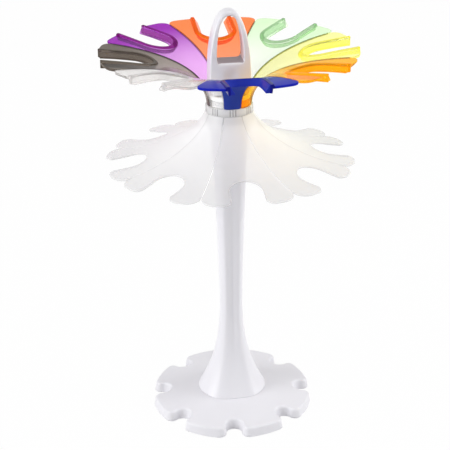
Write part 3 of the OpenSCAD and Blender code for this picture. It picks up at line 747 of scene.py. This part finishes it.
# Inset and height of rings up the side, and of those up the inside of the rim
SIDE_RINGS = ((0.35, COVER_Z), (0.0, COVER_Z + 0.4), (0.3, 3.5), (0.8, 6.0))
INSIDE_RINGS = ((5.0, 8.5), (4.0, 7.5), (3.0, COVER_Z))
# The bearing tower, the seats of its lower bush and that bush's flange, and the cover's inside
TOWER_R, TOWER_TOP, BUSH_R, FLANGE_R, FLANGE_Z, CEILING_Z = 14, 38, 7, 9.1, 14.8, 13
# Radius and height of rings over the bearing tower, down its bore and out under the cover's top
TOWER_RINGS = (
    (CAP_R - 1, BASE_H), (16, BASE_H), (14.4, 16.6), (TOWER_R, 18), (TOWER_R, TOWER_TOP),
    (BUSH_R, TOWER_TOP), (BUSH_R, FLANGE_Z), (FLANGE_R, FLANGE_Z), (FLANGE_R, CEILING_Z),
    (CAP_R, CEILING_Z), (56, 11))


def half_lobe(inset):
    """Half of a lobe's outline, from its notch's middle to its own: x, y and the angle on the circle."""
    half_w, centre = NOTCH_W / 2 + inset, NOTCH_IN + NOTCH_W / 2
    mouth_x = NOTCH_W / 2 + NOTCH_MOUTH
    mouth_y = math.sqrt((BASE_R - NOTCH_MOUTH) ** 2 - mouth_x * mouth_x)
    mouth_r, rim_r = NOTCH_MOUTH - inset, BASE_R - inset
    last, start = math.atan2(mouth_y, mouth_x), math.atan2(mouth_x, mouth_y)
    side = [(half_w * math.sin(a), centre - half_w * math.cos(a), NOTCH_TO * a / (math.pi / 2))
            for a in np.linspace(0, math.pi / 2, NOTCH_STEPS)]
    side.append((half_w, centre + (mouth_y - centre) / 2, SIDE_TO))
    for f in np.linspace(0, 1, MOUTH_STEPS):
        a = math.pi + f * (last - math.pi)
        to = MOUTH_FROM + f * (MOUTH_TO - MOUTH_FROM)
        side.append((mouth_x + mouth_r * math.cos(a), mouth_y + mouth_r * math.sin(a), to))
    for f in np.linspace(0, 1, LOBE_STEPS)[1:]:
        a = start + f * (PITCH / 2 - start)
        side.append((rim_r * math.sin(a), rim_r * math.cos(a), MOUTH_TO + f * (LOBE_TO - MOUTH_TO)))
    return side


def lobed_ring(inset, height, blend=0.0):
    """The base's outline drawn in by inset, and by blend towards the circle. height takes a radius."""
    side = half_lobe(inset)
    both = [(-x, y, -to) for x, y, to in side[:0:-1]] + side[:-1]
    ring = []
    for i in range(SITES):
        turn = i * PITCH - math.radians(BASE_TURN)
        c, s = math.cos(turn), math.sin(turn)
        for x, y, to in both:
            px = (1 - blend) * x + blend * CIRCLE_R * math.sin(math.radians(to))
            py = (1 - blend) * y + blend * CIRCLE_R * math.cos(math.radians(to))
            ring.append((px * c + py * s, px * s - py * c, height(math.hypot(px, py))))
    return ring


def level_ring(inset, z):
    """The outline drawn in by inset, all at one height."""
    return lobed_ring(inset, lambda r: z)


def plain_ring(r, z):
    """A circle with as many points as the outline."""
    circle = lobed_ring(0, lambda r: 0, 1.0)
    return [(r * x / math.hypot(x, y), r * y / math.hypot(x, y), z) for x, y, _ in circle]


def base_top(r):
    """The height of the cover's top at a radius."""
    return BASE_H - (BASE_H - RIM_H) * float(np.clip((r - CAP_R) / (RIM_TOP_R - CAP_R), 0, 1))


def rim_ring(a):
    """One ring of the rim's round edge, at an angle from the side to the top."""
    inset, drop = DRAFT + RIM_ROUND * (1 - math.cos(a)), RIM_ROUND * (1 - math.sin(a))
    return lobed_ring(inset, lambda r: base_top(r) - drop)


rings = [level_ring(inset, z) for inset, z in SIDE_RINGS]
rings += [rim_ring(a) for a in np.radians(RIM_ANGLES)]
rings += [lobed_ring(DRAFT + RIM_ROUND, base_top, blend) for blend in BLENDS]
rings += [plain_ring(r, base_top(r)) for r in CONE_RINGS]
rings += [plain_ring(r, z) for r, z in TOWER_RINGS]
rings += [level_ring(inset, z) for inset, z in INSIDE_RINGS]
base = chain("base_body", rings)
dress(base, [body_white], "base", "base_cover")

# ---- handle ----

HANDLE_Z, ARCH_Z, HANDLE_TOP, SILL_Z, WINDOW_TOP = 344.0, 355.0, 426.5, 376.3, 421.0
HANDLE_W, WINDOW_W, HANDLE_D, APEX_D, ARCH_POWER = 40.6, 26.4, 24.0, 14.0, 2.35
# Where the depth begins to taper, and the foot's outline from the middle out, as x and height
TAPER_Z = SILL_Z + 2
FOOT_OUTLINE = [[0, HANDLE_Z], [16, HANDLE_Z], [17, HANDLE_Z + 0.6], [20.0, 351.5], [HANDLE_W / 2, 353.0]]
# The sill's round, its steps, and the slot of the dark grey painted as shade on the sill's top
SILL_ROUND, SILL_STEPS, SILL_SHADE_SLOT = 4.0, 8, 1
# The rounds of the outer edge and of the window's, with rows of points across each and between them
EDGE_OUT, EDGE_IN = 3.0, 1.8
OUT_ROWS, IN_ROWS = (0, 0.15, 0.55, 1.3, EDGE_OUT), (EDGE_IN, 0.8, 0.3, 0.08, 0)
FLAT_ROWS = (0.15, 0.3, 0.45, 0.6, 0.75, 0.88)
# The shallow dish above the foot: a circle's radius, its distance behind the face, and where it fades out
DISH_R, DISH_BACK, DISH_FADE = 16.0, 14.4, (364, 371)
# Points on half an arch, and the steps along the foot or the sill, round the corner and over the arch
ARCH_STEPS, STRETCHES = 60, (7, 6, 44)


def arch_points(half_w, height, foot_z):
    """Half an arch, from its foot to its apex, as x and height."""
    a = np.linspace(0, math.pi / 2, ARCH_STEPS)
    power = 2 / ARCH_POWER
    return np.stack([half_w * np.cos(a) ** power, foot_z + height * np.sin(a) ** power], -1)


def handle_loop(foot, arch, apex):
    """Evenly spaced points round a whole outline, from half of its foot and half of its arch."""
    path = np.concatenate([foot, arch], 0)
    way = way_along(path)
    bends = (0, 1, len(foot) - 1, len(path) - 1)
    half = []
    for i, steps in enumerate(STRETCHES):
        for d in np.linspace(way[bends[i]], way[bends[i + 1]], steps + 1)[:-1]:
            half.append([np.interp(d, way, path[:, 0]), np.interp(d, way, path[:, 1])])
    mirrored = [[-x, z] for x, z in half[:0:-1]]
    return np.array(half + [[0, apex]] + mirrored)


def outer_loop():
    arch = arch_points(HANDLE_W / 2, HANDLE_TOP - ARCH_Z, ARCH_Z)
    return handle_loop(FOOT_OUTLINE, arch, HANDLE_TOP)


def window_loop():
    corner_x = WINDOW_W / 2 - SILL_ROUND
    sill = [[0, SILL_Z]] + [
        [corner_x + SILL_ROUND * math.sin(a), SILL_Z + SILL_ROUND * (1 - math.cos(a))]
        for a in np.linspace(0, math.pi / 2, SILL_STEPS)]
    arch = arch_points(WINDOW_W / 2, WINDOW_TOP - SILL_Z, SILL_Z)
    arch = arch[arch[:, 1] > SILL_Z + SILL_ROUND + 0.5]
    return handle_loop(sill, arch, WINDOW_TOP)


def handle_depth(x, z):
    """Half the handle's depth, which tapers to the apex, less the dish."""
    taper = np.clip((z - TAPER_Z) / (HANDLE_TOP - TAPER_Z), 0, 1)
    depth = APEX_D / 2 + (HANDLE_D - APEX_D) / 2 * (1 - taper ** 2)
    dish = np.maximum(0, np.sqrt(np.maximum(DISH_R ** 2 - x ** 2, 0)) - DISH_BACK)
    return depth - dish * (1 - smooth(z, *DISH_FADE))


def handle_rings():
    """Rings from the outer edge to the window, over the front and back over the rear."""
    loop_out, loop_in = outer_loop(), window_loop()
    apart = np.linalg.norm(loop_in - loop_out, axis=1)
    flat = 1 - (EDGE_OUT + EDGE_IN) / apart
    parts = [e / apart for e in OUT_ROWS]
    parts += [EDGE_OUT / apart + f * flat for f in FLAT_ROWS]
    parts += [1 - e / apart for e in IN_ROWS]
    front = []
    for f in parts:
        p = loop_out + (loop_in - loop_out) * f[:, None]
        x, z = p[:, 0], p[:, 1]
        cut = round_off(f * apart, EDGE_OUT) + round_off((1 - f) * apart, EDGE_IN)
        front.append(np.stack([x, cut - handle_depth(x, z), z], -1))
    rear = [ring * np.array([1, -1, 1]) for ring in front[::-1]]
    return [ring.tolist() for ring in front + rear]


handle = chain("handle_body", handle_rings())
# The sill's upward faces take the dark grey: painted shade on the sill
for face in handle.data.polygons:
    x, z = face.center.x / MM, face.center.z / MM
    if face.normal.z > 0.45 and SILL_Z - 0.01 < z < SILL_Z + 3 and abs(x) < WINDOW_W / 2 - 0.2:
        face.material_index = SILL_SHADE_SLOT
dress(handle, [body_white, sill_shade], "carousel", "handle")

# ---- floor and backdrop ----

# How much the white backdrop lights the object, where it shows at strength 1
BACKDROP_LIGHT = 0.40
# The floor's grey, how white it shows, and half its width in metres
FLOOR_GREY, FLOOR_SHOWN, FLOOR_HALF = 0.76, 0.985, 6.0


def path_sees(tree):
    """1 for what the camera, a gloss or see-through plastic shows, 0 for light that falls on a surface."""
    path = tree.nodes.new("ShaderNodeLightPath")
    total = path.outputs["Is Camera Ray"]
    for name in ("Is Glossy Ray", "Is Transmission Ray"):
        add = tree.nodes.new("ShaderNodeMath")
        add.operation = "MAXIMUM"
        tree.links.new(total, add.inputs[0])
        tree.links.new(path.outputs[name], add.inputs[1])
        total = add.outputs[0]
    return total


def mix_surface(tree, share, lit, shown, out_kind):
    """Shows the first shader where share is 0 and the second where it is 1."""
    mix, out = tree.nodes.new("ShaderNodeMixShader"), tree.nodes.new(out_kind)
    tree.links.new(share, mix.inputs["Fac"])
    tree.links.new(lit.outputs[0], mix.inputs[1])
    tree.links.new(shown.outputs[0], mix.inputs[2])
    tree.links.new(mix.outputs[0], out.inputs["Surface"])


def make_backdrop():
    """A world that shows white and lights the scene less than it shows."""
    world = bpy.data.worlds.new("studio")
    bpy.context.scene.world = world
    world.use_nodes = True
    tree = world.node_tree
    tree.nodes.clear()
    plain, shown = tree.nodes.new("ShaderNodeBackground"), tree.nodes.new("ShaderNodeBackground")
    plain.inputs["Color"].default_value = (1, 1, 1, 1)
    plain.inputs["Strength"].default_value = BACKDROP_LIGHT
    shown.inputs["Color"].default_value = (1, 1, 1, 1)
    mix_surface(tree, path_sees(tree), plain, shown, "ShaderNodeOutputWorld")


def floor_material():
    """Nearly white where it is seen, with a trace of the object's shadow."""
    mat = bpy.data.materials.new("pale_floor")
    mat.use_nodes = True
    tree = mat.node_tree
    tree.nodes.clear()
    lit, glow = tree.nodes.new("ShaderNodeBsdfDiffuse"), tree.nodes.new("ShaderNodeEmission")
    lit.inputs["Color"].default_value = (FLOOR_GREY, FLOOR_GREY, FLOOR_GREY, 1)
    glow.inputs["Strength"].default_value = 1.0
    share = tree.nodes.new("ShaderNodeMath")
    share.operation = "MULTIPLY"
    share.inputs[1].default_value = FLOOR_SHOWN
    tree.links.new(path_sees(tree), share.inputs[0])
    mix_surface(tree, share.outputs[0], lit, glow, "ShaderNodeOutputMaterial")
    return mat


def make_floor():
    data = bpy.data.meshes.new("floor")
    corners = [(-1, -1), (1, -1), (1, 1), (-1, 1)]
    data.from_pydata([(x * FLOOR_HALF, y * FLOOR_HALF, 0) for x, y in corners], [], [(0, 1, 2, 3)])
    data.materials.append(floor_material())
    obj = bpy.data.objects.new("floor", data)
    bpy.context.scene.collection.objects.link(obj)
    return obj


make_backdrop()
floor = make_floor()

# ---- lamps ----

AIM = Vector((0, 0, 0.2))
# Each lamp's place and width in metres, and its power in watts
LAMPS = {
    "left": ((-1.7, -0.4, 0.9), 1.4, 23),
    "right": ((1.7, -0.3, 0.9), 1.4, 20.5),
    "top": ((0.2, -0.8, 2.0), 1.2, 5)}

for name, (place, size, power) in LAMPS.items():
    data = bpy.data.lights.new(name, "AREA")
    data.shape = "DISK"
    data.size = size
    data.energy = power
    lamp = bpy.data.objects.new(name, data)
    lamp.location = place
    lamp.rotation_euler = (AIM - Vector(place)).to_track_quat("-Z", "Y").to_euler()
    bpy.context.scene.collection.objects.link(lamp)

# ---- camera ----

# Fitted to the photograph: the turn round the object, and the tilts in radians
TURN, TILT, ROLL = math.radians(-8.4), 0.415, -0.0114
CAMERA_AT, FOCAL_PX, FRAME_PX, SENSOR = (-5.5, -1153.8, 710.9), 1235.4, 450, 36

camera_data = bpy.data.cameras.new("camera")
camera_data.sensor_width = SENSOR
camera_data.lens = FOCAL_PX / FRAME_PX * SENSOR
camera_data.clip_end = 50
camera = bpy.data.objects.new("camera", camera_data)
turn = Matrix.Rotation(TURN, 3, "Z")
right = turn @ Vector((1, 0, 0))
up = turn @ Vector((0, math.sin(TILT), math.cos(TILT)))
ahead = turn @ Vector((0, math.cos(TILT), -math.sin(TILT)))
x_axis = right * math.cos(ROLL) + up * math.sin(ROLL)
y_axis = up * math.cos(ROLL) - right * math.sin(ROLL)
axes = Matrix((x_axis, y_axis, -ahead)).transposed()
camera.matrix_world = Matrix.Translation(turn @ Vector(CAMERA_AT) * MM) @ axes.to_4x4()
bpy.context.scene.collection.objects.link(camera)
bpy.context.scene.camera = camera

bpy.context.scene.view_settings.view_transform = "Standard"

bpy.context.view_layer.update()
